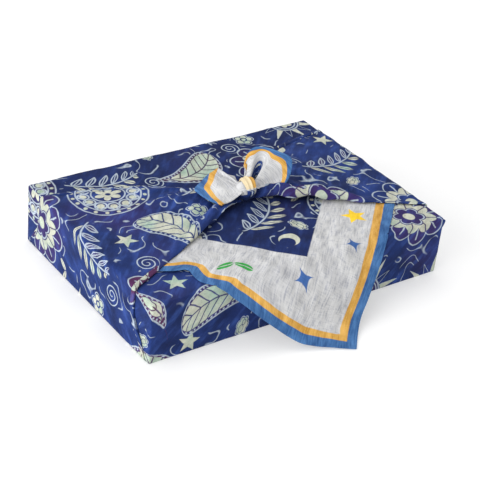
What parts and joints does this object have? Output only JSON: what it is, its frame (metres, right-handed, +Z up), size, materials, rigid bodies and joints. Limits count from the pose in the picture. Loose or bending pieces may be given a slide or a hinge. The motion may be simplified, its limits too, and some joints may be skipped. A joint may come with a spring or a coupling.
{
  "type": "furoshiki wrap",
  "caption": "Square printed cloth folded round a flat box and knotted on top, with short tails and a bordered corner hanging over the front.",
  "frame": {"origin": "centre of the flat bottom of the wrap", "axes": "+X along the long side, +Y towards the back, so the bordered corner hangs on the -Y side, +Z up"},
  "size_m": [0.3259, 0.2844, 0.097],
  "materials": {
    "printed_cloth": "soft semi-matte cloth, navy with line print, grey-white band, orange and blue border"
  },
  "bodies": {
    "root": {"furoshiki_cloth": "printed_cloth"}
  },
  "joints": []
}
